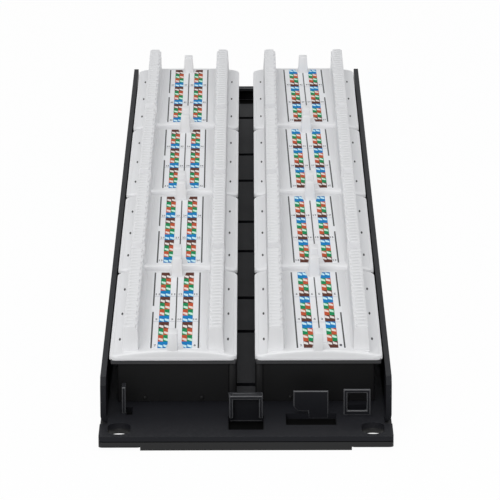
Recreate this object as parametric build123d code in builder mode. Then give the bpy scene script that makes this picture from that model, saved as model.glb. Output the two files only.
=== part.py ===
"""A two-unit rack patch panel with 48 modular jacks, lying on its front with its punch-down side up.

The frame: X runs along the panel, Y across it, Z up. The origin is on the surface that the panel
lies on, under the middle of it. The front of the panel faces down, the wire side faces up.
All lengths are in millimetres.
"""

import os
from math import cos, radians, sin

from build123d import *

os.makedirs("parts", exist_ok=True)

# The rack and the outline of the panel
rack_width = 482.6
unit_width = 44.45
units = 2
rack_gap = 0.8
panel_width = units * unit_width - rack_gap

# The mounting slots in the ears
slot_inset_x = 8.75
slot_inset_y = 5.95
slot_length = 11.8
slot_width = 6.9

# The front fascia: a thin plate with a raised band round both rows of jacks
band_height = 1.2
band_margin = 12.45
fascia_thickness = 1.3
fascia_corner = 1.2

# The folded steel panel
steel_thickness = 1.7
bend_inside = 0.6
wall_rise = 12.2
wall_corner = 2.2
ear_length = 20.6
relief_length = 7.0

# The modules: two rows of four, each with six jacks
modules_per_row = 4
row_margin = 35.3
module_gap = 0.4
module_margin_y = 2.625
jacks_per_module = 6

# The black housing that holds six jacks
housing_end_gap = 2.1
housing_side_gap = 2.6
housing_rise = 12.3
nose_end_step = 2.5
nose_side_step = 8.3
nose_clearance = 0.3
nose_end_wall = 0.98
plug_width = 11.8
plug_height = 6.8
latch_width = 6.2
latch_depth = 1.6
hook_share = 0.3
hook_length = 2.9
hook_width = 1.6
hook_clearance = 0.3

# The contact wires in each jack
wires_per_jack = 8
wire_pitch = 1.016
wire_size = 0.5
wire_reach = 8.5
wire_slant = 16.0
wire_clearance = 0.3

# The circuit board under each punch block
board_thickness = 1.6
board_inset = 0.6

# The white punch block
flange_thickness = 1.1
flange_corner = 3.8
platform_rise = 1.1
end_wall_crown = 0.3

# The two toothed bars on each punch block
wires_per_bar = 24
bar_end = 2.3
bar_near_gap = 2.7
bar_far_gap = 3.86
bar_side_gap = 5.0
bar_top_width = 3.1
bar_flank = 1.0
bar_rise = 7.5
slot_depth = 4.6
slot_mouth = 1.3

# The posts that the label is held between
post_top_rise = 6.0
near_post_gap = 0.3
near_post_length = 6.2
near_post_width = 2.6
far_post_gap = 7.2
far_post_length = 4.2
far_post_width = 3.0
post_draft = 0.45

# The colour label
label_near_gap = 5.4
label_far_gap = 6.2
label_side_gap = 3.7
label_thickness = 0.2
label_notch_margin = 0.7
label_notch_clearance = 0.4

# The lugs lanced out of the steel beside each ear
clip_width = 9.9
clip_lip = 2.6
clip_hole_length = 14.6
clip_hole_side = 0.4
near_clip_foot = 22.0
near_clip_rise = 7.1
far_clip_foot = 16.6
far_clip_rise = 3.6
flag_foot = 12.4
flag_stem_width = 5.7
flag_width = 10.7
flag_rise = 10.6
flag_head = 6.0
flag_slope = 1.6
flag_inset = 24.75
flag_hole_width = 15.4
flag_hole_length = 10.6
loop_inset = 10.45
loop_width = 8.0
loop_rise = 7.6
loop_foot = 23.0
loop_rim = 1.1
loop_hole_length = 5.0
hook_lug_inset = 5.85
hook_lug_length = 5.4
hook_lug_rise = 7.8
hook_lug_foot = 22.6
lug_thickness = 1.2

# Levels, from the surface that the panel lies on
fascia_front = band_height
steel_front = fascia_front + fascia_thickness
steel_rear = steel_front + steel_thickness
housing_top = steel_rear + housing_rise
board_top = housing_top + board_thickness
flange_top = board_top + flange_thickness
platform_top = flange_top + platform_rise
bar_top = platform_top + bar_rise
post_top = platform_top + post_top_rise

# Sizes and places that follow from the ones above
half_length = rack_width / 2
half_width = panel_width / 2
wall_length = rack_width - 2 * ear_length
bend_outside = bend_inside + steel_thickness
row_offset = unit_width / 2
module_pitch = (rack_width - 2 * row_margin) / modules_per_row
module_length = module_pitch - module_gap
module_width = 2 * (row_offset - module_margin_y)
housing_length = module_length - 2 * housing_end_gap
housing_width = module_width - 2 * housing_side_gap
nose_length = housing_length - 2 * nose_end_step
nose_width = housing_width - 2 * nose_side_step
jack_pitch = (nose_length - 2 * nose_end_wall) / jacks_per_module
hook_offset = hook_share * module_length
strip_half_width = row_offset - housing_width / 2
bar_length = module_length - bar_near_gap - bar_far_gap
wire_slot_pitch = (bar_length - 2 * bar_end) / wires_per_bar
bar_outer = module_width / 2 - bar_side_gap
bar_inner = bar_outer - bar_top_width
label_length = module_length - label_near_gap - label_far_gap
label_width = 2 * (bar_inner - label_side_gap)
far_post_end = module_length - far_post_gap


def module_grid():
    """The centres of all eight modules."""
    return GridLocations(module_pitch, 2 * row_offset, modules_per_row, 2)


def slot_grid():
    """The centres of the four mounting slots."""
    return GridLocations(rack_width - 2 * slot_inset_x, panel_width - 2 * slot_inset_y, 2, 2)


def save(part, name):
    """Label one finished piece and write it to its own file."""
    part.label = name
    export_step(part, f"parts/{name}.step")


# Steel panel: one folded sheet with the jack windows, the mounting slots and the lanced lugs

def folded_edge_profile():
    """Section of one long edge of the sheet, from the flat plate round the bend to the wall's top."""
    centre = half_width - bend_outside
    with BuildSketch(Plane.YZ.offset(-wall_length / 2)) as profile:
        with BuildLine():
            start = (centre, steel_front)
            outer_end = (half_width, steel_front + bend_outside)
            top_outer = (half_width, steel_rear + wall_rise)
            top_inner = (half_width - steel_thickness, steel_rear + wall_rise)
            inner_start = (half_width - steel_thickness, steel_front + bend_outside)
            inner_end = (centre, steel_rear)
            RadiusArc(start, outer_end, -bend_outside)
            Polyline(outer_end, top_outer, top_inner, inner_start)
            RadiusArc(inner_start, inner_end, bend_inside)
            Line(inner_end, start)
        make_face()
    return profile.sketch


def middle_clips():
    """Where each of the two middle clips stands along the panel, and how tall it is."""
    return [
        (near_clip_foot - half_length, near_clip_rise),
        (half_length - far_clip_foot, far_clip_rise),
    ]


def lug_flag_outline():
    """Outline of the flag lug: a stem with a head that overhangs to one side."""
    stem = flag_stem_width
    head_bottom = flag_rise - flag_head
    return [
        (0, -steel_thickness),
        (stem, -steel_thickness),
        (stem, flag_rise),
        (stem - flag_width, flag_rise),
        (stem - flag_width, head_bottom + flag_slope),
        (stem - flag_width + flag_slope, head_bottom),
        (0, head_bottom - flag_slope / 2),
    ]


with BuildPart() as steel_panel:
    with BuildSketch(Plane.XY.offset(steel_front)) as plate:
        Rectangle(rack_width, panel_width - 2 * bend_outside)
        ear_tab = ear_length - relief_length
        with GridLocations(rack_width - ear_tab, 0, 2, 1):
            Rectangle(ear_tab, panel_width)
        corners = plate.vertices().group_by(Axis.X)
        fillet(corners[0] + corners[-1], fascia_corner)
        with module_grid():
            Rectangle(
                nose_length + 2 * nose_clearance,
                nose_width + 2 * nose_clearance,
                mode=Mode.SUBTRACT,
            )
        # Slots across the middle strip, one for the hooks of the two housings on each side of it
        with GridLocations(module_pitch, 0, modules_per_row, 1):
            with GridLocations(2 * hook_offset, 0, 2, 1):
                Rectangle(
                    hook_length + 2 * hook_clearance,
                    2 * (strip_half_width + hook_width + hook_clearance),
                    mode=Mode.SUBTRACT,
                )
        with slot_grid():
            SlotOverall(slot_length, slot_width, mode=Mode.SUBTRACT)
        for foot, rise in middle_clips():
            with Locations((foot - clip_hole_length / 2, 0)):
                Rectangle(clip_hole_length, clip_width + 2 * clip_hole_side, mode=Mode.SUBTRACT)
        for end in (-1, 1):
            flag_hole = half_length - flag_foot - flag_hole_length / 2
            with Locations((end * flag_hole, flag_inset - half_width)):
                Rectangle(flag_hole_length, flag_hole_width, mode=Mode.SUBTRACT)
            loop_hole = half_length - loop_foot + loop_hole_length / 2
            with Locations((end * loop_hole, loop_inset - half_width)):
                Rectangle(loop_hole_length, loop_width - 2 * loop_rim, mode=Mode.SUBTRACT)
    extrude(amount=steel_thickness)
    edge = folded_edge_profile()
    extrude(edge, amount=wall_length)
    extrude(edge.mirror(Plane.XZ), amount=wall_length)
    chamfer(steel_panel.edges().filter_by(Axis.Y).group_by(Axis.Z)[-1], wall_corner)
    # The middle clips: an upright web on the far edge of its hole, with a lip down each side
    for foot, rise in middle_clips():
        with Locations((foot, 0, steel_front)):
            Box(
                lug_thickness,
                clip_width,
                steel_thickness + rise,
                align=(Align.MIN, Align.CENTER, Align.MIN),
            )
        with Locations((foot, 0, steel_rear)):
            with GridLocations(0, clip_width - lug_thickness, 1, 2):
                Box(
                    clip_lip,
                    lug_thickness,
                    rise,
                    align=(Align.MAX, Align.CENTER, Align.MIN),
                )
    for end in (-1, 1):
        # The flag lug, bent up at the outer edge of its own hole
        flag_plane = Plane(
            origin=(end * (half_length - flag_foot), flag_inset - half_width, steel_rear),
            x_dir=(0, -1, 0),
            z_dir=(-1, 0, 0),
        )
        with BuildSketch(flag_plane):
            with BuildLine():
                Polyline(*lug_flag_outline(), close=True)
            make_face()
        extrude(amount=end * lug_thickness)
        # The loop lug: a square eye standing across the panel
        loop_plane = Plane(
            origin=(end * (half_length - loop_foot), loop_inset - half_width, steel_rear),
            x_dir=(0, -1, 0),
            z_dir=(-1, 0, 0),
        )
        with BuildSketch(loop_plane):
            with Locations((0, loop_rise / 2)):
                Rectangle(loop_width, loop_rise)
                Rectangle(loop_width - 2 * loop_rim, loop_rise - 2 * loop_rim, mode=Mode.SUBTRACT)
        extrude(amount=end * lug_thickness)
        # The hook lug on the other side, standing along the panel
        hook_lug_place = (
            end * (half_length - hook_lug_foot),
            half_width - hook_lug_inset,
            steel_rear,
        )
        with Locations(hook_lug_place):
            Box(
                hook_lug_length,
                lug_thickness,
                hook_lug_rise,
                align=(Align.CENTER, Align.CENTER, Align.MIN),
            )
save(steel_panel.part, "steel_panel")


# Front fascia: a moulded plate on the face of the steel, with a raised band round the jacks

with BuildPart() as front_fascia:
    with BuildSketch(Plane.XY.offset(fascia_front)):
        RectangleRounded(rack_width, panel_width, fascia_corner)
    extrude(amount=fascia_thickness)
    with BuildSketch(Plane.XY):
        Rectangle(rack_width, panel_width - 2 * band_margin)
    extrude(amount=band_height)
    with BuildSketch(Plane.XY):
        with module_grid():
            Rectangle(nose_length + 2 * nose_clearance, nose_width + 2 * nose_clearance)
        with slot_grid():
            SlotOverall(slot_length, slot_width)
    extrude(amount=steel_front, mode=Mode.SUBTRACT)
save(front_fascia.part, "front_fascia")


# Jack housings: each one moulding with six sockets, its nose flush with the front

def jack_housing(inward):
    """A housing on the rear of the steel, with a nose through the windows and hooks to one side."""
    with BuildPart() as housing:
        with BuildSketch(Plane.XY.offset(steel_rear)):
            Rectangle(housing_length, housing_width)
        extrude(amount=housing_rise)
        with BuildSketch(Plane.XY):
            Rectangle(nose_length, nose_width)
        extrude(amount=steel_rear)
        with BuildSketch(Plane.XY):
            with GridLocations(jack_pitch, 0, jacks_per_module, 1):
                Rectangle(plug_width, plug_height)
                with Locations((0, -(plug_height + latch_depth) / 2)):
                    Rectangle(latch_width, latch_depth)
        extrude(amount=housing_top, mode=Mode.SUBTRACT)
        with Locations((0, inward * (housing_width - hook_width) / 2, steel_rear)):
            with GridLocations(2 * hook_offset, 0, 2, 1):
                Box(
                    hook_length,
                    hook_width,
                    steel_thickness,
                    align=(Align.CENTER, Align.CENTER, Align.MAX),
                )
    return housing.part


# Circuit boards: one over each housing, under the punch block

def circuit_board():
    """A plain board a little smaller than the punch block's flange."""
    with BuildPart() as board:
        with BuildSketch(Plane.XY.offset(housing_top)):
            Rectangle(module_length - 2 * board_inset, module_width - 2 * board_inset)
        extrude(amount=board_thickness)
    return board.part


# Contact wires: eight springy wires slanting down into each jack from the board

def jack_contacts():
    """The wires of six jacks as one group, each leaning from the board to one wall and thinning."""
    lean_across = sin(radians(wire_slant)) * wire_reach
    lean_down = cos(radians(wire_slant)) * wire_reach
    foot_across = plug_height / 2 - wire_clearance - wire_size - lean_across
    with BuildPart() as wire:
        with BuildSketch(Plane.XY.offset(housing_top)):
            with BuildLine():
                Polyline(
                    (-wire_size / 2, foot_across + wire_size),
                    (0, foot_across),
                    (wire_size / 2, foot_across + wire_size),
                    close=True,
                )
            make_face()
        loft([wire.pending_faces[0], Vertex(0, foot_across + lean_across, housing_top - lean_down)])
    places = GridLocations(jack_pitch, 0, jacks_per_module, 1)
    pitches = GridLocations(wire_pitch, 0, wires_per_jack, 1)
    wires = [wire.part.moved(place * pitch) for place in places for pitch in pitches]
    return Compound(children=wires)


# Punch blocks: one white moulding with two toothed bars, the label platform and its two posts

def bar_profile():
    """Cross-section of one bar from the board up: upright inside, leaning a little outside."""
    return [
        (bar_inner, board_top),
        (bar_inner, bar_top),
        (bar_outer, bar_top),
        (bar_outer + bar_flank, platform_top),
        (bar_outer + bar_flank, board_top),
    ]


def punch_block():
    """Flange, arched end wall, platform, two toothed bars and two posts."""
    near_end = -module_length / 2
    bar_start = near_end + bar_near_gap
    with BuildPart() as block:
        with BuildSketch(Plane.XY.offset(board_top)):
            RectangleRounded(module_length, module_width, flange_corner)
        extrude(amount=flange_thickness)
        with BuildSketch(Plane.YZ.offset(bar_start)) as profile:
            with BuildLine():
                Polyline(*bar_profile(), close=True)
            make_face()
            mirror(about=Plane.YZ)
            with Locations((0, (platform_top + board_top) / 2)):
                Rectangle(2 * bar_inner, platform_top - board_top)
        extrude(amount=bar_length)
        # The slots of both bars, cut across the block in one go; they end above the platform
        with BuildSketch(Plane.XZ.offset(-module_width / 2)):
            for slot in range(wires_per_bar):
                middle = bar_start + bar_length / 2 + (slot - (wires_per_bar - 1) / 2) * wire_slot_pitch
                with BuildLine():
                    Polyline(
                        (middle - slot_mouth / 2, bar_top),
                        (middle, bar_top - slot_depth),
                        (middle + slot_mouth / 2, bar_top),
                        close=True,
                    )
                make_face()
        extrude(amount=module_width, mode=Mode.SUBTRACT)
        # The arched wall across the near end
        with BuildSketch(Plane.YZ.offset(near_end)):
            with BuildLine():
                left = (flange_corner - module_width / 2, flange_top)
                right = (module_width / 2 - flange_corner, flange_top)
                ThreePointArc(left, (0, platform_top + end_wall_crown), right)
                Line(right, left)
            make_face()
        extrude(amount=bar_near_gap)
        posts = (
            (near_post_gap, near_post_length, near_post_width),
            (far_post_end - far_post_length, far_post_length, far_post_width),
        )
        for start, length, width in posts:
            with BuildSketch(Plane.YZ.offset(near_end + start)):
                with BuildLine():
                    Polyline(
                        (-width / 2 - post_draft, platform_top),
                        (-width / 2, post_top),
                        (width / 2, post_top),
                        (width / 2 + post_draft, platform_top),
                        close=True,
                    )
                make_face()
            extrude(amount=length)
    return block.part


# Labels: a thin colour-coded strip on each platform, notched round the posts

def colour_label():
    """A flat strip with a notch at each end for the post that stands there."""
    near_end = label_near_gap - module_length / 2
    label_end = label_near_gap + label_length
    notch_depth = label_end - far_post_end + far_post_length + label_notch_clearance
    notch_width = far_post_width + 2 * (post_draft + label_notch_margin)
    with BuildPart() as label:
        with BuildSketch(Plane.XY.offset(platform_top)):
            with Locations((near_end + label_length / 2, 0)):
                Rectangle(label_length, label_width)
                with GridLocations(label_length - notch_depth, 0, 2, 1):
                    Rectangle(notch_depth, notch_width, mode=Mode.SUBTRACT)
        extrude(amount=label_thickness)
    return label.part


# One of each piece is made at its module's own middle and copied to all eight places

board = circuit_board()
contacts = jack_contacts()
block = punch_block()
label = colour_label()
housings = {side: jack_housing(-side) for side in (1, -1)}
for number, place in enumerate(module_grid(), start=1):
    side = 1 if place.position.Y > 0 else -1
    save(housings[side].moved(place), f"jack_housing_{number}")
    save(board.moved(place), f"circuit_board_{number}")
    save(contacts.moved(place), f"jack_contacts_{number}")
    save(block.moved(place), f"punch_block_{number}")
    save(label.moved(place), f"colour_label_{number}")
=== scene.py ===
"""A rack patch panel on its face: black folded steel, jack housings and eight white punch blocks."""
import math

import bpy
import numpy as np
from mathutils import Matrix
from mathutils.geometry import tessellate_polygon


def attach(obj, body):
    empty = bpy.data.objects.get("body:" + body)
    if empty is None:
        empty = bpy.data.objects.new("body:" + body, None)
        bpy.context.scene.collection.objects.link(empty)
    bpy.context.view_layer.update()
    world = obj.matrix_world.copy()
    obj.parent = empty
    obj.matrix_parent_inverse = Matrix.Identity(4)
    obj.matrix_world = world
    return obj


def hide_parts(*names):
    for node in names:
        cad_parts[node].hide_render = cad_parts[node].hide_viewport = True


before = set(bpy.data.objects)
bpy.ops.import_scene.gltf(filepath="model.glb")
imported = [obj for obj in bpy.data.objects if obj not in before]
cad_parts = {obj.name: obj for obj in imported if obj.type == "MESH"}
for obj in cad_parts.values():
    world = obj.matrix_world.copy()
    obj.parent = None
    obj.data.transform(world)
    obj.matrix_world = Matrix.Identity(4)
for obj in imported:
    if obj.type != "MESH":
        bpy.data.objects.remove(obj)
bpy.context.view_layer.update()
scene = bpy.context.scene
scene.view_settings.view_transform = "Standard"
MM = 0.001


# The camera stands at one short end of the panel, a little above it, with a long lens.
# Its place, tilt and lens come from fitting the panel's corners and slots in the photo.
CAMERA_PLACE = (-1.5551, -0.00133, 0.4019)
CAMERA_TILT = math.radians(14.516)
CAMERA_ROLL = math.radians(0.141)
CAMERA_SENSOR = 36
CAMERA_LENS = 331.3
camera = bpy.data.objects.new("camera", bpy.data.cameras.new("camera"))
scene.collection.objects.link(camera)
scene.camera = camera
ahead = np.array((math.cos(CAMERA_TILT), 0, -math.sin(CAMERA_TILT)))
level_right = np.array((0, -1, 0))
level_down = np.cross(ahead, level_right)
right = level_right * math.cos(CAMERA_ROLL) + level_down * math.sin(CAMERA_ROLL)
up = np.cross(right, ahead)
turned = Matrix(np.column_stack((right, up, -ahead)).tolist()).to_4x4()
camera.matrix_world = Matrix.Translation(CAMERA_PLACE) @ turned
camera.data.sensor_width = CAMERA_SENSOR
camera.data.lens = CAMERA_LENS
camera.data.clip_start = 0.05
camera.data.clip_end = 30


# The floor is a plain white sheet. It shows as white to the eye and to reflections, and
# keeps the panel's soft shadow by staying partly a lit surface.
FLOOR_COLOUR = (0.86, 0.86, 0.86, 1)
FLOOR_LIT_SHARE = 0.04
FLOOR_HALF = 8


def seen_directly(tree):
    """1 for rays from the eye, in a gloss or through glass, 0 for rays that carry soft light."""
    path = tree.nodes.new("ShaderNodeLightPath")
    either = tree.nodes.new("ShaderNodeMath")
    either.operation = "MAXIMUM"
    tree.links.new(path.outputs["Is Camera Ray"], either.inputs[0])
    tree.links.new(path.outputs["Is Glossy Ray"], either.inputs[1])
    both = tree.nodes.new("ShaderNodeMath")
    both.operation = "MAXIMUM"
    tree.links.new(either.outputs[0], both.inputs[0])
    tree.links.new(path.outputs["Is Transmission Ray"], both.inputs[1])
    return both.outputs[0]


floor_mesh = bpy.data.meshes.new("floor")
floor_corners = [(x * FLOOR_HALF, y * FLOOR_HALF, 0) for x, y in ((-1, -1), (1, -1), (1, 1), (-1, 1))]
floor_mesh.from_pydata(floor_corners, [], [(0, 1, 2, 3)])
floor = bpy.data.objects.new("floor", floor_mesh)
scene.collection.objects.link(floor)
floor_paint = bpy.data.materials.new("floor_paint")
floor_paint.use_nodes = True
tree = floor_paint.node_tree
paint = tree.nodes["Principled BSDF"]
paint.inputs["Base Color"].default_value = FLOOR_COLOUR
paint.inputs["Roughness"].default_value = 0.9
paint.inputs["Specular IOR Level"].default_value = 0.1
glow = tree.nodes.new("ShaderNodeEmission")
glow.inputs["Strength"].default_value = 1
part_lit = tree.nodes.new("ShaderNodeMath")
part_lit.operation = "MULTIPLY"
part_lit.inputs[1].default_value = 1 - FLOOR_LIT_SHARE
tree.links.new(seen_directly(tree), part_lit.inputs[0])
mixed = tree.nodes.new("ShaderNodeMixShader")
tree.links.new(part_lit.outputs[0], mixed.inputs[0])
tree.links.new(paint.outputs[0], mixed.inputs[1])
tree.links.new(glow.outputs[0], mixed.inputs[2])
tree.links.new(mixed.outputs[0], tree.nodes["Material Output"].inputs["Surface"])
floor_mesh.materials.append(floor_paint)


# Studio light: an even pale surround, a weak broad lamp above and a large soft one in front.
SURROUND_STRENGTH = 0.48
LAMP_POWER = 12
FRONT_LAMP_POWER = 28
world = bpy.data.worlds.new("surround")
scene.world = world
world.use_nodes = True
tree = world.node_tree
soft = tree.nodes["Background"]
soft.inputs["Color"].default_value = (0.97, 0.985, 1, 1)
soft.inputs["Strength"].default_value = SURROUND_STRENGTH
bright = tree.nodes.new("ShaderNodeBackground")
bright.inputs["Color"].default_value = (1, 1, 1, 1)
bright.inputs["Strength"].default_value = 1
mixed = tree.nodes.new("ShaderNodeMixShader")
path = tree.nodes.new("ShaderNodeLightPath")
tree.links.new(path.outputs["Is Camera Ray"], mixed.inputs[0])
tree.links.new(soft.outputs[0], mixed.inputs[1])
tree.links.new(bright.outputs[0], mixed.inputs[2])
tree.links.new(mixed.outputs[0], tree.nodes["World Output"].inputs["Surface"])
for name, place, size, power in (
    ("top_lamp", (-0.35, 0.1, 1.6), 1.6, LAMP_POWER),
    ("front_lamp", (-3.0, 0.7, 1.5), 1.5, FRONT_LAMP_POWER),
):
    lamp = bpy.data.objects.new(name, bpy.data.lights.new(name, "AREA"))
    lamp.data.energy = power
    lamp.data.size = size
    aim = -np.array(place) / np.linalg.norm(place)
    side = np.cross(aim, (0, 1, 0))
    side /= np.linalg.norm(side)
    lamp.matrix_world = Matrix.Translation(place) @ Matrix(
        np.column_stack((side, np.cross(-aim, side), -aim)).tolist()
    ).to_4x4()
    scene.collection.objects.link(lamp)


# Finish of powder coat, moulded plastic and lacquer: a fine grain that shows as tiny bumps
# and as a slight unevenness of shade and gloss. One node group serves them all.
def make_grain():
    """Two sizes of noise on Object coordinates: bumps from the fine one, shade from the coarse one."""
    group = bpy.data.node_groups.new("grain", "ShaderNodeTree")
    for name, kind, start in (
        ("Fine Scale", "NodeSocketFloat", 1500),
        ("Coarse Scale", "NodeSocketFloat", 60),
        ("Bump", "NodeSocketFloat", 0.1),
        ("Colour", "NodeSocketColor", (0.5, 0.5, 0.5, 1)),
        ("Worn Colour", "NodeSocketColor", (0.5, 0.5, 0.5, 1)),
        ("Roughness Low", "NodeSocketFloat", 0.4),
        ("Roughness High", "NodeSocketFloat", 0.5),
    ):
        item = group.interface.new_socket(name=name, in_out="INPUT", socket_type=kind)
        item.default_value = start
    for name, kind in (("Colour", "NodeSocketColor"), ("Roughness", "NodeSocketFloat"),
                       ("Normal", "NodeSocketVector")):
        group.interface.new_socket(name=name, in_out="OUTPUT", socket_type=kind)
    given = group.nodes.new("NodeGroupInput")
    result = group.nodes.new("NodeGroupOutput")
    where = group.nodes.new("ShaderNodeTexCoord")
    fine = group.nodes.new("ShaderNodeTexNoise")
    coarse = group.nodes.new("ShaderNodeTexNoise")
    coarse.inputs["Detail"].default_value = 4
    for noise, scale in ((fine, "Fine Scale"), (coarse, "Coarse Scale")):
        group.links.new(where.outputs["Object"], noise.inputs["Vector"])
        group.links.new(given.outputs[scale], noise.inputs["Scale"])
    bump = group.nodes.new("ShaderNodeBump")
    bump.inputs["Distance"].default_value = 0.0002
    group.links.new(given.outputs["Bump"], bump.inputs["Strength"])
    group.links.new(fine.outputs["Fac"], bump.inputs["Height"])
    shade = group.nodes.new("ShaderNodeMix")
    shade.data_type = "RGBA"
    group.links.new(coarse.outputs["Fac"], shade.inputs["Factor"])
    group.links.new(given.outputs["Colour"], shade.inputs["A"])
    group.links.new(given.outputs["Worn Colour"], shade.inputs["B"])
    gloss = group.nodes.new("ShaderNodeMix")
    group.links.new(coarse.outputs["Fac"], gloss.inputs["Factor"])
    group.links.new(given.outputs["Roughness Low"], gloss.inputs["A"])
    group.links.new(given.outputs["Roughness High"], gloss.inputs["B"])
    group.links.new(shade.outputs["Result"], result.inputs["Colour"])
    group.links.new(gloss.outputs["Result"], result.inputs["Roughness"])
    group.links.new(bump.outputs["Normal"], result.inputs["Normal"])
    return group


grain = make_grain()


def grained(name, colour, other, rough, fine=1500, coarse=60, bump=0.1, metal=0, specular=0.5):
    """A surface of one colour with the grain group's bumps and unevenness."""
    material = bpy.data.materials.new(name)
    material.use_nodes = True
    tree = material.node_tree
    surface = tree.nodes["Principled BSDF"]
    surface.inputs["Metallic"].default_value = metal
    surface.inputs["Specular IOR Level"].default_value = specular
    node = tree.nodes.new("ShaderNodeGroup")
    node.node_tree = grain
    node.inputs["Fine Scale"].default_value = fine
    node.inputs["Coarse Scale"].default_value = coarse
    node.inputs["Bump"].default_value = bump
    node.inputs["Colour"].default_value = (*colour, 1)
    node.inputs["Worn Colour"].default_value = (*other, 1)
    node.inputs["Roughness Low"].default_value = rough[0]
    node.inputs["Roughness High"].default_value = rough[1]
    tree.links.new(node.outputs["Colour"], surface.inputs["Base Color"])
    tree.links.new(node.outputs["Roughness"], surface.inputs["Roughness"])
    tree.links.new(node.outputs["Normal"], surface.inputs["Normal"])
    return material


def soften(piece, edge):
    """Rounds the sharp edges of an object a little. Edge is the width of the rounding in metres."""
    weld = piece.modifiers.new("weld", "WELD")
    weld.merge_threshold = 0.00001
    rounding = piece.modifiers.new("rounding", "BEVEL")
    rounding.width = edge
    rounding.segments = 2
    rounding.limit_method = "ANGLE"
    rounding.angle_limit = math.radians(40)
    rounding.harden_normals = True


def dress(node, material, edge=0):
    """Gives a CAD node its finish, and rounds its edges a little where edge is a width in metres."""
    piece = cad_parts[node]
    piece.data.materials.clear()
    piece.data.materials.append(material)
    if edge:
        soften(piece, edge)


# The panel is one folded steel sheet with a fine matt black powder coat. Windows, slots and lug
# holes are punched through it, and both long edges are folded up into walls with cut corners.
HALF_LENGTH = 241.3
HALF_WIDTH = 44.05
STEEL_FRONT = 2.5
STEEL_REAR = 4.2
BEND_OUTSIDE = 2.3
BEND_INSIDE = 0.6
WALL_TOP = 16.4
WALL_CORNER = 2.2
WALL_HALF = 220.7
TAB_INNER = 227.7
SEAM = 0.3
MODULE_PITCH = 103.0
MODULE_LENGTH = 102.6
ROW_OFFSET = 22.225
WINDOW = (94.0, 18.0)
CROSS_SLOT = (3.5, 14.25)
CROSS_SLOT_SHIFT = 30.78
PLATE_CORNER = 1.2
MOUNTING_SLOT_X = 232.55
MOUNTING_SLOT_Y = 38.1
MOUNTING_SLOT_RADIUS = 3.45
MOUNTING_SLOT_REACH = 2.45
SMOOTH_UP_TO = math.radians(35)


def loft(rings):
    """Closed skin through equal rings of points, with the first and the last ring filled.
    Its faces are turned outward if the volume that they close comes out negative."""
    rings = np.asarray(rings, float)
    count, size = rings.shape[:2]
    points = rings.reshape(-1, 3)
    base = (np.arange(count - 1) * size)[:, None]
    this = np.arange(size)[None, :]
    after = (this + 1) % size
    quads = np.stack((base + this, base + after, base + size + after, base + size + this), -1)
    faces = quads.reshape(-1, 4).tolist()
    faces.append(list(range(size))[::-1])
    faces.append(list(range((count - 1) * size, count * size)))
    centre = points.mean(axis=0)
    a, b, c, d = (points[quads.reshape(-1, 4)[:, i]] - centre for i in range(4))
    volume = (np.cross(b - a, c - a) * a).sum() + (np.cross(c - a, d - a) * a).sum()
    if volume < 0:
        faces = [face[::-1] for face in faces]
    return points, faces


def round_rectangle(x0, x1, y0, y1, corner, steps=4, far_corner=None):
    """Points round a rectangle with quarter-circle corners, anticlockwise from above. The two
    corners at x1 take the radius far_corner where it is given."""
    turn = np.linspace(0, math.pi / 2, steps)
    far = corner if far_corner is None else far_corner
    arcs = []
    for i, (x, y, radius) in enumerate(((x1 - far, y1 - far, far), (x0 + corner, y1 - corner, corner),
                                        (x0 + corner, y0 + corner, corner), (x1 - far, y0 + far, far))):
        angle = turn + i * math.pi / 2
        arcs.append(np.column_stack((x + radius * np.cos(angle), y + radius * np.sin(angle))))
    return np.concatenate(arcs)


def at_height(outline, z):
    """The flat outline lifted to one height."""
    return np.column_stack((outline, np.full(len(outline), z)))


def block(x0, x1, y0, y1, z0, z1, corner=0.2, edge=0.2, steps=3, draft=0.0):
    """An upright block with round corners and a round top edge. Draft is how far each of the
    sides at y0 and y1 leans in by the top."""
    rings = []
    for z, inset in ((z0, 0), (z1 - edge, 0), (z1 - 0.3 * edge, 0.3 * edge), (z1, edge)):
        slope = draft * ((z - z0) / (z1 - z0))
        outline = round_rectangle(x0 + inset, x1 - inset, y0 + inset + slope,
                                  y1 - inset - slope, max(corner, 0.02), steps)
        rings.append(at_height(outline, z))
    return loft(rings)


def joined(parts):
    """Several lists of points and faces as one."""
    points, faces, start = [], [], 0
    for some_points, some_faces in parts:
        points.append(some_points)
        faces += [[start + i for i in face] for face in some_faces]
        start += len(some_points)
    return np.concatenate(points), faces


def module_place(number):
    """Centre of a module in millimetres: along the panel column by column, across row by row."""
    column, row = divmod(number - 1, 2)
    return (column - 1.5) * MODULE_PITCH, (2 * row - 1) * ROW_OFFSET


def make_piece(name, points, faces, material, slot, place=(0, 0)):
    """A mesh object at the origin from points in millimetres, moved by place, smooth but for edges
    sharper than SMOOTH_UP_TO."""
    mesh = bpy.data.meshes.new(name)
    moved = (np.asarray(points) + (place[0], place[1], 0)) * MM
    mesh.from_pydata(moved.tolist(), [], faces)
    mesh.validate()
    mesh.shade_smooth()
    mesh.set_sharp_from_angle(angle=SMOOTH_UP_TO)
    mesh.materials.append(material)
    piece = bpy.data.objects.new(name, mesh)
    scene.collection.objects.link(piece)
    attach(piece, "root")
    return piece


def oblong(x0, x1, y0, y1):
    """The four corners of a rectangle."""
    return np.array(((x0, y0), (x1, y0), (x1, y1), (x0, y1)), float)


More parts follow.
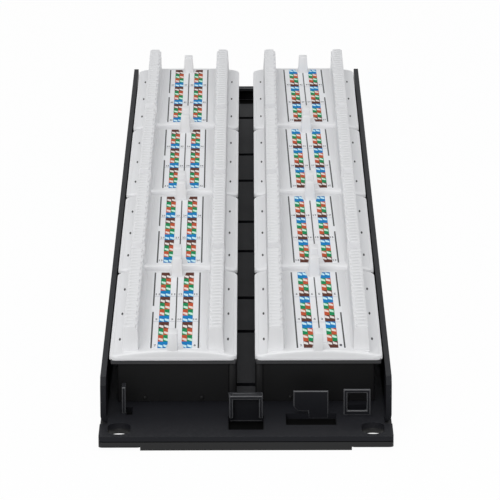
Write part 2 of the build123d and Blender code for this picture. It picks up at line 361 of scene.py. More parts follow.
def punched(outline, holes, z0, z1):
    """A flat sheet from z0 to z1 with holes through it. The outline and each hole are lists of
    points, and the area between them is split into triangles."""
    loops = [np.asarray(loop, float) for loop in (outline, *holes)]
    flat = np.concatenate(loops)
    count = len(flat)
    triangles = tessellate_polygon([[(x, y, 0) for x, y in loop] for loop in loops])
    top = []
    for triangle in triangles:
        a, b, c = (flat[i] for i in triangle)
        up = (b[0] - a[0]) * (c[1] - a[1]) - (b[1] - a[1]) * (c[0] - a[0]) > 0
        top.append(list(triangle) if up else list(triangle)[::-1])
    faces = [[i + count for i in face] for face in top] + [face[::-1] for face in top]
    start = 0
    for index, loop in enumerate(loops):
        size = len(loop)
        ahead = np.roll(loop, -1, axis=0)
        turns_left = (loop[:, 0] * ahead[:, 1] - loop[:, 1] * ahead[:, 0]).sum() > 0
        outward = turns_left == (index == 0)
        for i in range(size):
            here, following = start + i, start + (i + 1) % size
            side = [here, following, following + count, here + count]
            faces.append(side if outward else side[::-1])
        start += size
    return np.concatenate((at_height(flat, z0), at_height(flat, z1))), faces


def upright(shape, x):
    """A sheet made flat as (across, up) and set upright across the panel at x."""
    points, faces = shape
    return np.column_stack((points[:, 2] + x, points[:, 0], points[:, 1])), faces


def folded_wall(side):
    """A long edge of the sheet: the bend and the wall, with a cut corner at both ends."""
    bend = np.linspace(0, math.pi / 2, 7)
    middle = HALF_WIDTH - BEND_OUTSIDE
    height = STEEL_FRONT + BEND_OUTSIDE
    outer = np.column_stack((middle + BEND_OUTSIDE * np.sin(bend), height - BEND_OUTSIDE * np.cos(bend)))
    inner = np.column_stack((middle + BEND_INSIDE * np.sin(bend), height - BEND_INSIDE * np.cos(bend)))
    top = np.array(((HALF_WIDTH, WALL_TOP), (middle + BEND_INSIDE, WALL_TOP)))
    profile = np.concatenate((outer, top, inner[::-1]))
    rings = []
    for x, cut in ((-WALL_HALF, WALL_CORNER), (-WALL_HALF + WALL_CORNER, 0),
                   (WALL_HALF - WALL_CORNER, 0), (WALL_HALF, WALL_CORNER)):
        rings.append(np.column_stack((np.full(len(profile), x), side * profile[:, 0],
                                      np.minimum(profile[:, 1], WALL_TOP - cut))))
    return loft(rings)


def plate_outline(inset):
    """The plate's outer edge: full width at both ears, and narrower between the bends."""
    x, y, bend = HALF_LENGTH - inset, HALF_WIDTH - inset, HALF_WIDTH - BEND_OUTSIDE
    turn = np.linspace(0, math.pi / 2, 5)
    arc = np.column_stack((x - PLATE_CORNER + PLATE_CORNER * np.cos(turn),
                           y - PLATE_CORNER + PLATE_CORNER * np.sin(turn)))
    step = np.array(((TAB_INNER, y), (TAB_INNER, bend)))
    quarter = np.concatenate((arc, step))
    left = (quarter * (-1, 1))[::-1]
    return np.concatenate((quarter, left, quarter * (-1, -1), left * (-1, -1)))


def rounded_slot(x, y):
    """One of the mounting slots, round at both ends."""
    turn = np.linspace(-math.pi / 2, math.pi / 2, 13)
    end = np.column_stack((MOUNTING_SLOT_REACH + MOUNTING_SLOT_RADIUS * np.cos(turn),
                           MOUNTING_SLOT_RADIUS * np.sin(turn)))
    return np.concatenate((end, -end)) + (x, y)


# Lugs are lanced out of the sheet and bent up beside both ears: a hooded clip in the middle, a
# flag, a square loop for a cable tie, and a short hook. Each has its own hole next to it. Thin
# near-black plates under the holes are painted shade that darkens what shows through them.
LUG_SHEET = 1.2
# Each clip's place along the panel, its rise over the sheet, and how far its hood reaches
CLIPS = ((-219.3, 7.1, 3.0), (224.7, 3.6, 2.6))
CLIP_HALF = 5.1
# The flag's outline, across and up from the sheet
FLAG = ((-18.8, -1.7), (-25.0, -1.7), (-25.0, 7.1), (-14.3, 7.1), (-14.3, 2.3), (-15.9, 0.7), (-18.8, 0.7))
FLAG_X = 217.0
LOOP_X = 218.9
LOOP_EDGES = (-37.7, -29.5)
LOOP_RISE = 8.1
# The loop's opening: from and to across, from and to up from the sheet
LOOP_EYE = (-36.5, -30.7, 1.5, 6.9)
HOOK_Y = 37.05
HOOK_ENDS = (216.5, 211.1)
HOOK_RISE = 8.2
LUG_ROOT = 0.1
CLIP_HOLE_LENGTH = 14.6
CLIP_HOLE_HALF = 5.35
# Holes of the flag, the loop and the hook: from and to along at both ears, from and to across
LUG_HOLES = (
    (FLAG_X, 229.0, -27.3, -12.0),
    (207.7, 217.7, -36.5, -30.7),
    (209.8, 217.8, 34.45, 36.45),
)
# Size and height of the thin plates of painted shade under the lug holes
SHADE_PLATE_GAP = 0.1
SHADE_PLATE_SIDE_GAPS = (0.1, 0.1, 0.05)
SHADE_PLATE_LOW = 2.4
SHADE_PLATE_HIGH = 2.56
# Two faces in one place would show black, so a lug stands this far off the wall of its hole,
# and a clip's cheeks and top end this far inside its web
WALL_CLEARANCE = 0.03
WEB_STEP = 0.02
CHEEK_ROOT = 0.5


def clip(x, rise, hood):
    """The hooded clip: an upright web, two side cheeks and a top, open toward its hole."""
    top = STEEL_REAR + rise
    inner = CLIP_HALF - LUG_SHEET
    return [
        punched(oblong(x - WALL_CLEARANCE, x + LUG_SHEET, -CLIP_HALF, CLIP_HALF), [], STEEL_FRONT, top),
        punched(oblong(x - hood, x + CHEEK_ROOT, inner, CLIP_HALF - WEB_STEP), [],
                STEEL_REAR, top - WEB_STEP),
        punched(oblong(x - hood, x + CHEEK_ROOT, WEB_STEP - CLIP_HALF, -inner), [],
                STEEL_REAR, top - WEB_STEP),
        punched(oblong(x - hood - WEB_STEP, x + CHEEK_ROOT, WEB_STEP - CLIP_HALF, CLIP_HALF - WEB_STEP), [],
                top - LUG_SHEET, top - WEB_STEP / 2),
    ]


holes = []
hole_shade_plates = []
lugs = []
for number in range(1, 9):
    x, y = module_place(number)
    holes.append(oblong(x - WINDOW[0] / 2, x + WINDOW[0] / 2, y - WINDOW[1] / 2, y + WINDOW[1] / 2))
for column in range(4):
    for side in (-1, 1):
        x = (column - 1.5) * MODULE_PITCH + side * CROSS_SLOT_SHIFT
        holes.append(oblong(x - CROSS_SLOT[0] / 2, x + CROSS_SLOT[0] / 2, -CROSS_SLOT[1] / 2,
                            CROSS_SLOT[1] / 2))
for x, rise, hood in CLIPS:
    holes.append(oblong(x - CLIP_HOLE_LENGTH, x, -CLIP_HOLE_HALF, CLIP_HOLE_HALF))
    hole_shade_plates.append(block(x - CLIP_HOLE_LENGTH + SHADE_PLATE_GAP, x - SHADE_PLATE_GAP,
                             SHADE_PLATE_GAP - CLIP_HOLE_HALF, CLIP_HOLE_HALF - SHADE_PLATE_GAP,
                             SHADE_PLATE_LOW, SHADE_PLATE_HIGH))
    lugs += clip(x, rise, hood)
for end in (-1, 1):
    for y in (-MOUNTING_SLOT_Y, MOUNTING_SLOT_Y):
        holes.append(rounded_slot(end * MOUNTING_SLOT_X, y))
    for (x0, x1, y0, y1), gap in zip(LUG_HOLES, SHADE_PLATE_SIDE_GAPS):
        low, high = sorted((end * x0, end * x1))
        holes.append(oblong(low, high, y0, y1))
        hole_shade_plates.append(block(low + SHADE_PLATE_GAP, high - SHADE_PLATE_GAP, y0 + gap, y1 - gap,
                                 SHADE_PLATE_LOW, SHADE_PLATE_HIGH))
    flag = punched([(y, STEEL_REAR + z) for y, z in FLAG], [], 0, LUG_SHEET)
    flag_x = FLAG_X + WALL_CLEARANCE
    lugs.append(upright(flag, -flag_x if end < 0 else flag_x - LUG_SHEET))
    y0, y1, low, high = LOOP_EYE
    loop = punched(oblong(*LOOP_EDGES, STEEL_REAR - LUG_ROOT, STEEL_REAR + LOOP_RISE),
                   [oblong(y0, y1, STEEL_REAR + low, STEEL_REAR + high)], 0, LUG_SHEET)
    lugs.append(upright(loop, -LOOP_X if end < 0 else LOOP_X - LUG_SHEET))
    hook = oblong(*sorted(end * x for x in HOOK_ENDS), HOOK_Y - LUG_SHEET / 2, HOOK_Y + LUG_SHEET / 2)
    lugs.append(punched(hook, [], STEEL_REAR - LUG_ROOT, STEEL_REAR + HOOK_RISE))
sheet = joined((
    punched(plate_outline(0), holes, STEEL_FRONT + SEAM, STEEL_REAR),
    punched(plate_outline(0.5), holes, STEEL_FRONT, STEEL_FRONT + SEAM),
    folded_wall(1),
    folded_wall(-1),
))
steel_coat = grained("steel_coat", (0.0094, 0.0098, 0.0126), (0.0116, 0.012, 0.015), (0.4, 0.5),
                     fine=2600, coarse=40, bump=0.16, specular=0.14)
# A lighter, glossier coat for the lugs' rounded edges: a painted highlight along their outlines
steel_edge_highlight = grained("steel_edge_highlight", (0.06, 0.061, 0.066), (0.08, 0.081, 0.086), (0.28, 0.36),
                     fine=2600, coarse=40, bump=0.05)
piece = make_piece("steel_sheet", *sheet, steel_coat, "black_steel")
soften(piece, 0.0002)
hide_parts("steel_panel")
piece = make_piece("steel_lugs", *joined(lugs), steel_coat, "black_steel")
piece.data.materials.append(steel_edge_highlight)
soften(piece, 0.00032)
# The bevel's faces take the painted edge highlight
piece.modifiers["rounding"].material = 1
# Near-black and almost without gloss: the painted shade in the lug holes
shadow_black = grained("shadow_black", (0.002, 0.002, 0.002), (0.003, 0.003, 0.003), (0.7, 0.8),
                       specular=0.03)
make_piece("hole_shade_plates", *joined(hole_shade_plates), shadow_black, "black_plastic")


# The front is a moulded black plate clipped to the face of the steel. A thin lip lines the
# underside of its margin on both sides of the raised band.
fascia_plastic = grained("fascia_plastic", (0.011, 0.011, 0.0115), (0.014, 0.014, 0.0145),
                         (0.45, 0.55), fine=1800, coarse=50, bump=0.12, specular=0.3)
dress("front_fascia", fascia_plastic, edge=0.00025)
LIP_INNER = 31.4
LIP_LOW = 0.9
LIP_HIGH = 1.3
LIP_SLOT_SHIFT = 0.12
lips = []
for side in (-1, 1):
    low, high = sorted((side * LIP_INNER, side * HALF_WIDTH))
    slots = []
    for end in (-1, 1):
        slots.append(rounded_slot(end * MOUNTING_SLOT_X, side * MOUNTING_SLOT_Y) + (LIP_SLOT_SHIFT, 0))
    edge = round_rectangle(-HALF_LENGTH, HALF_LENGTH, low, high, PLATE_CORNER, 5)
    lips.append(punched(edge, slots, LIP_LOW, LIP_HIGH))
make_piece("margin_lips", *joined(lips), fascia_plastic, "black_plastic")


# Eight jack housings are moulded in black plastic. A plain bar runs along the inner side of
# each, and two small catches stand on each end wall.
housing_plastic = grained("housing_plastic", (0.0062, 0.0062, 0.0066), (0.008, 0.008, 0.0084),
                          (0.38, 0.46), fine=1500, coarse=70, bump=0.08, specular=0.2)
board_lacquer = grained("board_lacquer", (0.05, 0.05, 0.053), (0.06, 0.06, 0.063), (0.3, 0.4),
                        fine=900, coarse=120, bump=0.05, specular=0.3)
contact_gold = grained("contact_gold", (0.82, 0.62, 0.25), (0.74, 0.55, 0.22), (0.18, 0.26),
                       fine=900, coarse=200, bump=0.02, metal=1)
HOUSING_HALF = 49.2
HOUSING_TOP = 16.5
HOUSING_INNER = 5.225
SIDE_BAR_INNER = 2.85
SIDE_BAR_OVERLAP = 0.3
CATCH_SHIFT = 8.7
CATCH_REACH = 0.9
CATCH_HALF = 0.5
CATCH_LOW = 5.3
CATCH_HIGH = 6.2
for number in range(1, 9):
    dress(f"jack_housing_{number}", housing_plastic, edge=0.0002)
    dress(f"circuit_board_{number}", board_lacquer, edge=0.0001)
    dress(f"jack_contacts_{number}", contact_gold)
    x, y = module_place(number)
    side = 1 if y > 0 else -1
    low, high = sorted((side * SIDE_BAR_INNER, side * (HOUSING_INNER + SIDE_BAR_OVERLAP)))
    parts = [block(x - HOUSING_HALF, x + HOUSING_HALF, low, high, STEEL_REAR, HOUSING_TOP, 0.9, 0.4, 5)]
    for shift in (-CATCH_SHIFT, CATCH_SHIFT):
        for end in (-1, 1):
            foot = sorted((x + end * (HOUSING_HALF + CATCH_REACH),
                           x + end * (HOUSING_HALF - SIDE_BAR_OVERLAP)))
            parts.append(block(*foot, y + shift - CATCH_HALF, y + shift + CATCH_HALF,
                               CATCH_LOW, CATCH_HIGH, 0.2, 0.25))
    make_piece(f"housing_side_{number}", *joined(parts), housing_plastic, "black_plastic")


# The eight punch blocks are white mouldings. Each has a flange, an arched end wall, a platform
# for the label, two posts, and two bars of teeth with a wire slot between each pair.
FLANGE_WIDTH = 38.9
FLANGE_FOOT = 17.7
FLANGE_CORNER = 2.2
FLANGE_FAR_CORNER = 5.6
FLANGE_TOP = 19.2
PLATFORM_TOP = 20.3
BAR_TOP = 27.8
BAR_START = 2.7
BAR_LENGTH = 96.04
BAR_INNER = 11.5
BAR_FOOT_INNER = 10.75
BAR_FOOT_OUTER = 15.6
BAR_TOP_OUTER = 14.35
BAR_SHOULDER = 15.1
BAR_END_LEAN = 0.55
SLOT_PITCH = 3.81
SLOT_WIDTH = 0.5
SLOTS = 24
SLOT_FLOOR = 23.2
POST_TOP = 26.3
POST_SHIFT = 0.12
# Each post's start from the near end, its length, and its width at the top and at the foot
NEAR_POST = (0.3, 6.2, 2.8, 3.2)
FAR_POST = (91.2, 4.2, 3.0, 3.9)
PLATFORM_START = 1.5
PLATFORM_END = 98.2
NEAR_END = -MODULE_LENGTH / 2
END_WALL_SETBACK = 0.05
END_WALL_THICK = 2.9
END_WALL_FOOT = FLANGE_TOP - 0.15
END_WALL_CROWN = 1.85
BEAD_HALF_LENGTH = 2.1
BEAD_REACH = 0.8
BEAD_DEPTH = 0.1


def flange():
    """Rounded plate with a slightly lower rim all round its top."""
    half_x, half_y = MODULE_LENGTH / 2, FLANGE_WIDTH / 2
    rings = []
    for z, inset in ((FLANGE_FOOT, 0.2), (FLANGE_FOOT + 0.2, 0), (FLANGE_TOP - 0.42, 0),
                     (FLANGE_TOP - 0.26, 0.08), (FLANGE_TOP - 0.2, 0.25), (FLANGE_TOP - 0.2, 1.0),
                     (FLANGE_TOP - 0.04, 1.14), (FLANGE_TOP, 1.3)):
        outline = round_rectangle(-half_x + inset, half_x - inset, -half_y + inset, half_y - inset,
                                  FLANGE_CORNER + 0.2 - inset, 9, FLANGE_FAR_CORNER - inset)
        rings.append(at_height(outline, z))
    return loft(rings)


def end_wall():
    """The wall across the near end: at each place across, an upright strip with round top edges,
    whose front follows the flange's outline. Its top is a parabola, highest in the middle."""
    half = FLANGE_WIDTH / 2
    across = half * np.sin(np.linspace(-1, 1, 41) * math.radians(88))
    past = np.clip(np.abs(across) - (half - FLANGE_CORNER), 0, FLANGE_CORNER)
    front = NEAR_END + END_WALL_SETBACK + FLANGE_CORNER - np.sqrt(FLANGE_CORNER ** 2 - past ** 2)
    top = END_WALL_FOOT + END_WALL_CROWN * (1 - (across / half) ** 2)
    back = np.maximum(NEAR_END + END_WALL_THICK, front + 0.3)
    section = []
    for along, height in ((0, None), (0, -0.75), (0.18, -0.28), (0.62, 0), (-0.5, 0), (-0.12, -0.12),
                          (0, -0.5), (0, None)):
        begin = front if len(section) < 4 else back
        if height is None:
            z = np.full(len(across), FLANGE_FOOT + 0.1)
        else:
            z = np.maximum(top + height, FLANGE_FOOT + 0.3)
        place = np.minimum(begin + along, back) if begin is front else begin + along
        section.append(np.column_stack((place, across, z)))
    return loft(np.stack(section, axis=1))


def up_share(z):
    """How far a height is on the way from the flange's top to the bar's top, from 0 to 1."""
    return (z - FLANGE_TOP) / (BAR_TOP - FLANGE_TOP)


def tooth(x0, x1, side, foot, near_lean=0.0):
    """One tooth of a bar from the height foot up. Its outer side leans in from the flange up to
    a sloping shoulder, and its near side leans back by near_lean all the way."""
    rings = []
    for z, inset, outer in ((foot, 0, None), (BAR_TOP - 0.4, 0, BAR_SHOULDER),
                            (BAR_TOP - 0.08, 0.04, BAR_TOP_OUTER + 0.15), (BAR_TOP, 0.12, BAR_TOP_OUTER)):
        if outer is None:
            outer = BAR_FOOT_OUTER + (BAR_SHOULDER - BAR_FOOT_OUTER) * up_share(foot)
        outline = round_rectangle(x0 + near_lean * up_share(z) + inset, x1 - inset, BAR_INNER + inset,
                                  outer, 0.16, 3)
        outline[:, 1] *= side
        rings.append(at_height(outline, z))
    return loft(rings)


def toothed_bar(side):
    """Body of the bar under the slots, the teeth between them, an inner step with a row of
    domed beads on it, one to every two wires, and a hollow-curved foot that grows along it."""
    start = BAR_START + NEAR_END
    end = start + BAR_LENGTH
    flank = BAR_FOOT_OUTER + (BAR_SHOULDER - BAR_FOOT_OUTER) * up_share(SLOT_FLOOR)
    body = np.array(((BAR_INNER, FLANGE_TOP - 0.2), (BAR_FOOT_OUTER, FLANGE_TOP - 0.2),
                     (flank, SLOT_FLOOR), (BAR_INNER, SLOT_FLOOR)))
    parts = [loft([np.column_stack((np.full(4, x), side * body[:, 0], body[:, 1]))
                   for x in (start + 1.2, end - 0.6)])]
    middle = (start + end) / 2
    cuts = middle + (np.arange(SLOTS) - (SLOTS - 1) / 2) * SLOT_PITCH
    begins = np.concatenate(((start,), cuts + SLOT_WIDTH / 2))
    ends = np.concatenate((cuts - SLOT_WIDTH / 2, (end,)))
    for index, (x0, x1) in enumerate(zip(begins, ends)):
        last = index in (0, SLOTS)
        parts.append(tooth(x0, x1, side, FLANGE_TOP - 0.2 if last else SLOT_FLOOR - 0.3,
                           BAR_END_LEAN if index == 0 else 0.0))
    fall = np.linspace(1, 0, 9)
    rings = []
    for along, reach in ((0, 0.02), (1.2, 0.2), (3.5, 0.6), (7, 0.9), (12, 1), (BAR_LENGTH - 6, 1),
                         (BAR_LENGTH, 0.1)):
        hollow = np.column_stack((BAR_FOOT_INNER - reach * (1 - fall) ** 2.2,
                                  PLATFORM_TOP - 0.02 + fall * 1.5))
        ring = np.concatenate((((BAR_INNER + 1.2, PLATFORM_TOP - 0.4), (BAR_INNER + 1.2, BAR_TOP - 0.75),
                                (BAR_FOOT_INNER + 0.35, BAR_TOP - 0.75),
                                (BAR_FOOT_INNER + 0.1, BAR_TOP - 1)),
                               hollow, ((BAR_FOOT_INNER - reach, PLATFORM_TOP - 0.4),)))
        lean = BAR_END_LEAN * up_share(ring[:, 1]) if along == 0 else 0
        rings.append(np.column_stack((np.zeros(len(ring)) + start - 0.02 + along + lean, side * ring[:, 0],
                                      ring[:, 1])))
    parts.append(loft(rings))
    turn = np.linspace(0, math.pi, 9)
    for pair in range(SLOTS // 2):
        x = middle + (pair - (SLOTS / 2 - 1) / 2) * 2 * SLOT_PITCH
        rings = []
        for z, size in ((BAR_TOP - 2.0, 1.0), (BAR_TOP - 0.6, 1.0), (BAR_TOP - 0.3, 0.88),
                        (BAR_TOP - 0.12, 0.6), (BAR_TOP - 0.06, 0.1)):
            across = BAR_INNER + BEAD_DEPTH - BEAD_REACH * size * np.sin(turn)
            rings.append(np.column_stack((x + BEAD_HALF_LENGTH * size * np.cos(turn), side * across,
                                          np.full(len(turn), z))))
        parts.append(loft(rings))
    return joined(parts)


def post(start, length, width, foot_width):
    """An upright tongue that leans in a little on both sides, from a wider foot."""
    draft = (foot_width - width) / 2
    return block(NEAR_END + start, NEAR_END + start + length, POST_SHIFT - foot_width / 2,
                 POST_SHIFT + foot_width / 2, FLANGE_TOP, POST_TOP, 0.3, 0.25, 4, draft)


white_plastic = grained("white_plastic", (0.83, 0.83, 0.84), (0.805, 0.805, 0.815), (0.34, 0.44),
                        fine=1300, coarse=45, bump=0.05)
moulding = joined((
    flange(),
    end_wall(),
    block(NEAR_END + PLATFORM_START, NEAR_END + PLATFORM_END, -BAR_FOOT_OUTER, BAR_FOOT_OUTER,
          FLANGE_TOP - 0.2, PLATFORM_TOP, 0.3, 0.12),
    toothed_bar(1),
    toothed_bar(-1),
    post(*NEAR_POST),
    post(*FAR_POST),
))
for number in range(1, 9):
    piece = make_piece(f"punch_moulding_{number}", *moulding, white_plastic, "white_plastic",
                       place=module_place(number))
    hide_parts(f"punch_block_{number}")


# Three small oval slots lie along each side of the flange. They are painted, not cut: each is a
# dark oval, painted shade for the slot and the dark below it, a hair's breadth above the white.
EDGE_SLOT_LENGTH = 3.2
EDGE_SLOT_WIDTH = 0.6
EDGE_SLOT_INSET = 2.75
EDGE_SLOT_SPACING = 29.75
EDGE_SLOT_SHIFT = -2.4
slot_painted_shade = grained("slot_painted_shade", (0.006, 0.006, 0.006), (0.01, 0.01, 0.01), (0.6, 0.7))
turn = np.linspace(0, 2 * math.pi, 13)[:-1]
oval = np.column_stack((EDGE_SLOT_LENGTH / 2 * np.cos(turn), EDGE_SLOT_WIDTH / 2 * np.sin(turn)))
ovals = []
for along in (-1, 0, 1):
    for side in (-1, 1):
        shifted = oval + (EDGE_SLOT_SHIFT + along * EDGE_SLOT_SPACING,
                          side * (FLANGE_WIDTH / 2 - EDGE_SLOT_INSET))
        ovals.append(loft([at_height(shifted, FLANGE_TOP - 0.1), at_height(shifted, FLANGE_TOP + 0.01)]))
flange_slots = joined(ovals)
for number in range(1, 9):
    make_piece(f"flange_slots_{number}", *flange_slots, slot_painted_shade, "black_plastic",
               place=module_place(number))


# In each wire slot stands a small tinned contact: two upright tines with a gap for the wire.
contact_tin = grained("contact_tin", (0.62, 0.62, 0.63), (0.54, 0.54, 0.55), (0.22, 0.32), metal=1,
                      bump=0.02)
TINE_SHIFT = 0.55
TINE_HALF_ALONG = 0.14
TINE_HALF_ACROSS = 0.35
TINE_PLACE = BAR_INNER + 1.5
TINE_FOOT = SLOT_FLOOR - 0.2
TINE_TOP = BAR_TOP - 2.4
tines = []
first_slot = NEAR_END + BAR_START + BAR_LENGTH / 2 - (SLOTS - 1) / 2 * SLOT_PITCH
for slot in range(SLOTS):
    x = first_slot + slot * SLOT_PITCH
    for side in (-1, 1):
        for shift in (-TINE_SHIFT, TINE_SHIFT):
            y = side * TINE_PLACE + shift
            tines.append(block(x - TINE_HALF_ALONG, x + TINE_HALF_ALONG, y - TINE_HALF_ACROSS,
                               y + TINE_HALF_ACROSS, TINE_FOOT, TINE_TOP, 0.05, 0.1, 2))
tine_set = joined(tines)
for number in range(1, 9):
    make_piece(f"slot_contacts_{number}", *tine_set, contact_tin, "contact_wire",
               place=module_place(number))


# The labels are thin printed film on the platforms. Two strips of colour cells run beside a
# black middle line, in the order of the wire pairs, and a notch at each end clears the post.
# The labels of the row at negative Y are turned end for end.
LABEL_LENGTH = 90.4
LABEL_WIDTH = 15.6
LABEL_START = 4.3
LABEL_THICK = 0.2
LABEL_OFFSET = (0.45, 0.11)
TURNED_OFFSET = (0.8, -0.3)
INK_LIFT = 0.012
NOTCH_MOUTH = 2.65
NOTCH_FLOOR = 2.0
NOTCH_DEPTH = 5.9
# The first edge, the middle and the last edge of each strip, across the label
STRIP_EDGES = ((-5.28, -3.68, -2.08), (2.05, 3.66, 5.28))
LINE_REACH = 7.25
LINE_HALF = 0.24
LINE_BREAK = (42.1, 49.2)
MIDDLE_LINE_START = 6.2
MIDDLE_LINE_TAPER = 83.4
MIDDLE_LINE_END = 84.6
MIDDLE_LINE_HALF = 0.2
MIDDLE_LINE_TIP = 0.08
HAIR_LINE = 0.3
NUMBER_START = 3.1
# Numbers outside and inside of each strip
NUMBER_PLACES_ACROSS = ((-6.1, -1.15), (6.1, 1.2))
NUMBER_HEIGHT = 2.4
NUMBER_WIDTH = 0.75
NUMBER_WIDENING = 0.45
GROUPS = 3
# Each ink's deep colour, and the colour of its light band
INKS = {
    "blue": ((0.003, 0.22, 0.56), (0.62, 0.92, 1.0)),
    "orange": ((0.57, 0.095, 0.035), (0.94, 0.78, 0.70)),
    "green": ((0.004, 0.27, 0.095), (0.64, 0.95, 0.78)),
    "brown": ((0.12, 0.038, 0.026), (0.88, 0.82, 0.78)),
}
# The two colours side by side in each cell of a strip, along from the label's own start
CELL_ORDER = (("blue", "blue"), ("orange", "green"), ("green", "orange"), ("brown", "brown"))


def clipped(points, normal, reach):
    """The part of a convex outline where its dot product with normal is at most reach."""
    kept = []
    for here, following in zip(points, points[1:] + points[:1]):
        a = here[0] * normal[0] + here[1] * normal[1] - reach
        b = following[0] * normal[0] + following[1] * normal[1] - reach
        if a <= 0:
            kept.append(here)
        if a * b < 0:
            share = a / (a - b)
            kept.append((here[0] + share * (following[0] - here[0]),
                         here[1] + share * (following[1] - here[1])))
    return kept


def clear_of_notches(points):
    """A patch of ink without the parts that the sloping sides of both notches cut off."""
    side = 1 if sum(point[1] for point in points) > 0 else -1
    slope = (NOTCH_MOUTH - NOTCH_FLOOR) / NOTCH_DEPTH
    for end in (0, 1):
        mine = [point for point in points if (point[0] < LABEL_LENGTH / 2) == (end == 0)]
        if not mine:
            continue
        normal = (-slope if end == 0 else slope, -side)
        reach = -NOTCH_MOUTH - 0.1 if end == 0 else slope * LABEL_LENGTH - NOTCH_MOUTH - 0.1
        span = [point[0] for point in points]
        touches = min(span) < NOTCH_DEPTH if end == 0 else max(span) > LABEL_LENGTH - NOTCH_DEPTH
        if touches:
            points = clipped(points, normal, reach)
        if len(points) < 3:
            return []
    return points


def label_inks():
    """Every printed patch as (ink name, outline) in label coordinates: along from one end, and
    across. Each cell is a rectangle with a slanting light band across it."""
    cell = LABEL_LENGTH / (GROUPS * len(CELL_ORDER))
    patches = []
    for index in range(GROUPS * len(CELL_ORDER)):
        near, far = index * cell, (index + 1) * cell
        middle = near + 0.5 * cell
        for first, between, last in STRIP_EDGES:
            for name, y0, y1 in zip(CELL_ORDER[index % len(CELL_ORDER)], (first, between), (between, last)):
                patches.append((name, [(near, y0), (near, y1), (far, y1), (far, y0)]))
                light = [(near + 1.95, y0 + 0.2), (near + 0.2, y1 - 0.06), (near + 3.1, y1 - 0.06),
                         (middle + 0.4, y0 + 0.2)]
                patches.append((name + "_light", light))
    # One side line is whole and the other has a gap, and the middle line has a tapered end
    broken = ((0, LINE_BREAK[0]), (LINE_BREAK[1], LABEL_LENGTH))
    for y, pieces in ((-LINE_REACH, broken), (LINE_REACH, ((0, LABEL_LENGTH),))):
        for near, far in pieces:
            patches.append(("line", oblong(near, far, y - LINE_HALF, y + LINE_HALF)[[0, 3, 2, 1]]))
    patches.append(("line", [(MIDDLE_LINE_START, -MIDDLE_LINE_HALF), (MIDDLE_LINE_START, MIDDLE_LINE_HALF),
                             (MIDDLE_LINE_TAPER, MIDDLE_LINE_HALF), (MIDDLE_LINE_END, MIDDLE_LINE_TIP),
                             (MIDDLE_LINE_END, -MIDDLE_LINE_TIP), (MIDDLE_LINE_TAPER, -MIDDLE_LINE_HALF)]))
    # Hair lines between the groups of four pairs, from strip to strip and to the side lines
    for group in (1, 2):
        x = group * LABEL_LENGTH / GROUPS + HAIR_LINE
        for y0, y1 in ((-LINE_REACH, STRIP_EDGES[0][0]), (STRIP_EDGES[0][2], STRIP_EDGES[1][0]),
                       (STRIP_EDGES[1][2], LINE_REACH)):
            patches.append(("hair", oblong(x, x + HAIR_LINE, y0, y1)[[0, 3, 2, 1]]))
    return patches


label_film = grained("label_film", (0.88, 0.882, 0.9), (0.86, 0.865, 0.88), (0.3, 0.4), fine=700,
                     coarse=30, bump=0.03)
ink_finishes = {
    "line": grained("ink_black", (0.008, 0.008, 0.009), (0.014, 0.014, 0.014), (0.35, 0.45)),
    "hair": grained("ink_grey", (0.34, 0.34, 0.4), (0.4, 0.4, 0.46), (0.35, 0.45)),
    "number": grained("ink_slate", (0.05, 0.05, 0.07), (0.07, 0.07, 0.09), (0.35, 0.45)),
}
for name, (deep, light) in INKS.items():
    ink_finishes[name] = grained("ink_" + name, deep, tuple(0.85 * v + 0.005 for v in deep), (0.45, 0.55),
                                 coarse=300, specular=0.02)
    ink_finishes[name + "_light"] = grained("ink_" + name + "_light", light,
                                            tuple(0.96 * v for v in light), (0.3, 0.4), coarse=300)


def label_to_module(points, row):
    """Label coordinates to module coordinates. A label lies a little askew: its offset across is
    given for the near and the far end of the module, and runs in a straight line between them. In
    the row at negative Y the label is turned end for end, so it starts at the far end."""
    points = np.asarray(points, float)
    along = LABEL_START + NEAR_END
    at_start, at_end = LABEL_OFFSET if row > 0 else TURNED_OFFSET[::-1]
    skew = at_start * (1 - points[:, 0] / LABEL_LENGTH) + at_end * points[:, 0] / LABEL_LENGTH
    if row > 0:
        return np.column_stack((along + points[:, 0], -skew - points[:, 1]))
    return np.column_stack((along + LABEL_LENGTH - points[:, 0], -skew + points[:, 1]))


def film_outline():
    """The label's edge with its two notches, anticlockwise."""
    half = LABEL_WIDTH / 2
    near = [(0, half), (0, NOTCH_MOUTH), (NOTCH_DEPTH, NOTCH_FLOOR), (NOTCH_DEPTH, -NOTCH_FLOOR),
            (0, -NOTCH_MOUTH), (0, -half)]
    far = [(LABEL_LENGTH - x, -y) for x, y in near]
    return near + far


def number_places(module):
    """Where the jack numbers stand on a module's label: on both sides of each strip."""
    places = []
    for group in range(GROUPS):
        x = group * LABEL_LENGTH / GROUPS + NUMBER_START
        for strip, (outer, inner) in enumerate(NUMBER_PLACES_ACROSS):
            text = str((module - 1) * 6 + 2 * group + strip + 1)
            places.append((text, x, outer))
            if group:
                places.append((text, x, inner))
    return places


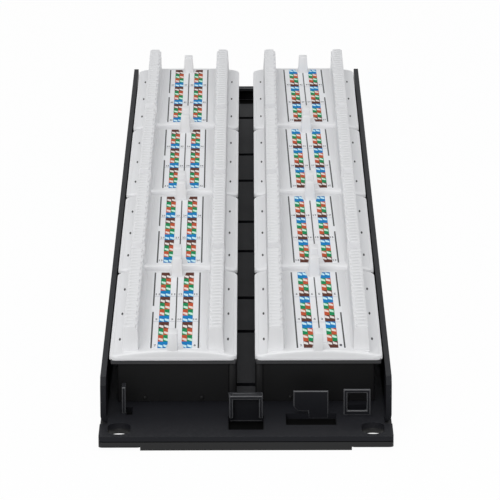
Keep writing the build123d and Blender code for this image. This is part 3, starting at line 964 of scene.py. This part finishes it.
def number_shape(text):
    """A printed number as flat points about its own middle, with its height along the label, and
    its faces turned to face up once it is laid on the label."""
    curve = bpy.data.curves.new("number", "FONT")
    curve.body = text
    curve.resolution_u = 1
    curve.offset = 0.02
    letters = bpy.data.objects.new("number", curve)
    mesh = bpy.data.meshes.new_from_object(letters)
    points = np.empty(len(mesh.vertices) * 3)
    mesh.vertices.foreach_get("co", points)
    flat = points.reshape(-1, 3)[:, :2]
    flat = flat - (flat.min(axis=0) + flat.max(axis=0)) / 2
    width = NUMBER_WIDTH + NUMBER_WIDENING * (len(text) - 1)
    flat = flat / (flat.max(axis=0) - flat.min(axis=0)) * (width, NUMBER_HEIGHT)
    faces = [list(face.vertices) for face in mesh.polygons]
    bpy.data.objects.remove(letters)
    bpy.data.curves.remove(curve)
    bpy.data.meshes.remove(mesh)
    return np.column_stack((flat[:, 1], flat[:, 0])), faces


number_shapes = {str(jack): number_shape(str(jack)) for jack in range(1, 49)}
for number in range(1, 9):
    row = 1 if number % 2 == 0 else -1
    outline = label_to_module(film_outline(), row)
    film = loft([at_height(outline, PLATFORM_TOP), at_height(outline, PLATFORM_TOP + LABEL_THICK)])
    piece = make_piece(f"label_film_{number}", *film, label_film, "label_film",
                       place=module_place(number))
    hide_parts(f"colour_label_{number}")
    by_ink = {}
    for name, patch in label_inks():
        patch = clear_of_notches(patch) if name not in ("line", "hair") else patch
        if len(patch) >= 3:
            flat = label_to_module(patch, row)
            turned_up = flat if np.sum(np.cross(flat, np.roll(flat, -1, axis=0))) > 0 else flat[::-1]
            lift = INK_LIFT * (2 if name.endswith("_light") else 1)
            skin = at_height(turned_up, PLATFORM_TOP + LABEL_THICK + lift)
            by_ink.setdefault(name, []).append((skin, [list(range(len(skin)))]))
    for text, x, y in number_places(number):
        shape, faces = number_shapes[text]
        # On a turned label the numbers keep the places along and the reading direction of the others
        if row > 0:
            flat = label_to_module(shape + (x, y), row)
        else:
            flat = label_to_module((LABEL_LENGTH - x, y) - shape, row)
        skin = at_height(flat, PLATFORM_TOP + LABEL_THICK + INK_LIFT)
        by_ink.setdefault("number", []).append((skin, faces))
    for name, patches in by_ink.items():
        make_piece(f"label_ink_{name}_{number}", *joined(patches), ink_finishes[name], "label_film",
                   place=module_place(number))
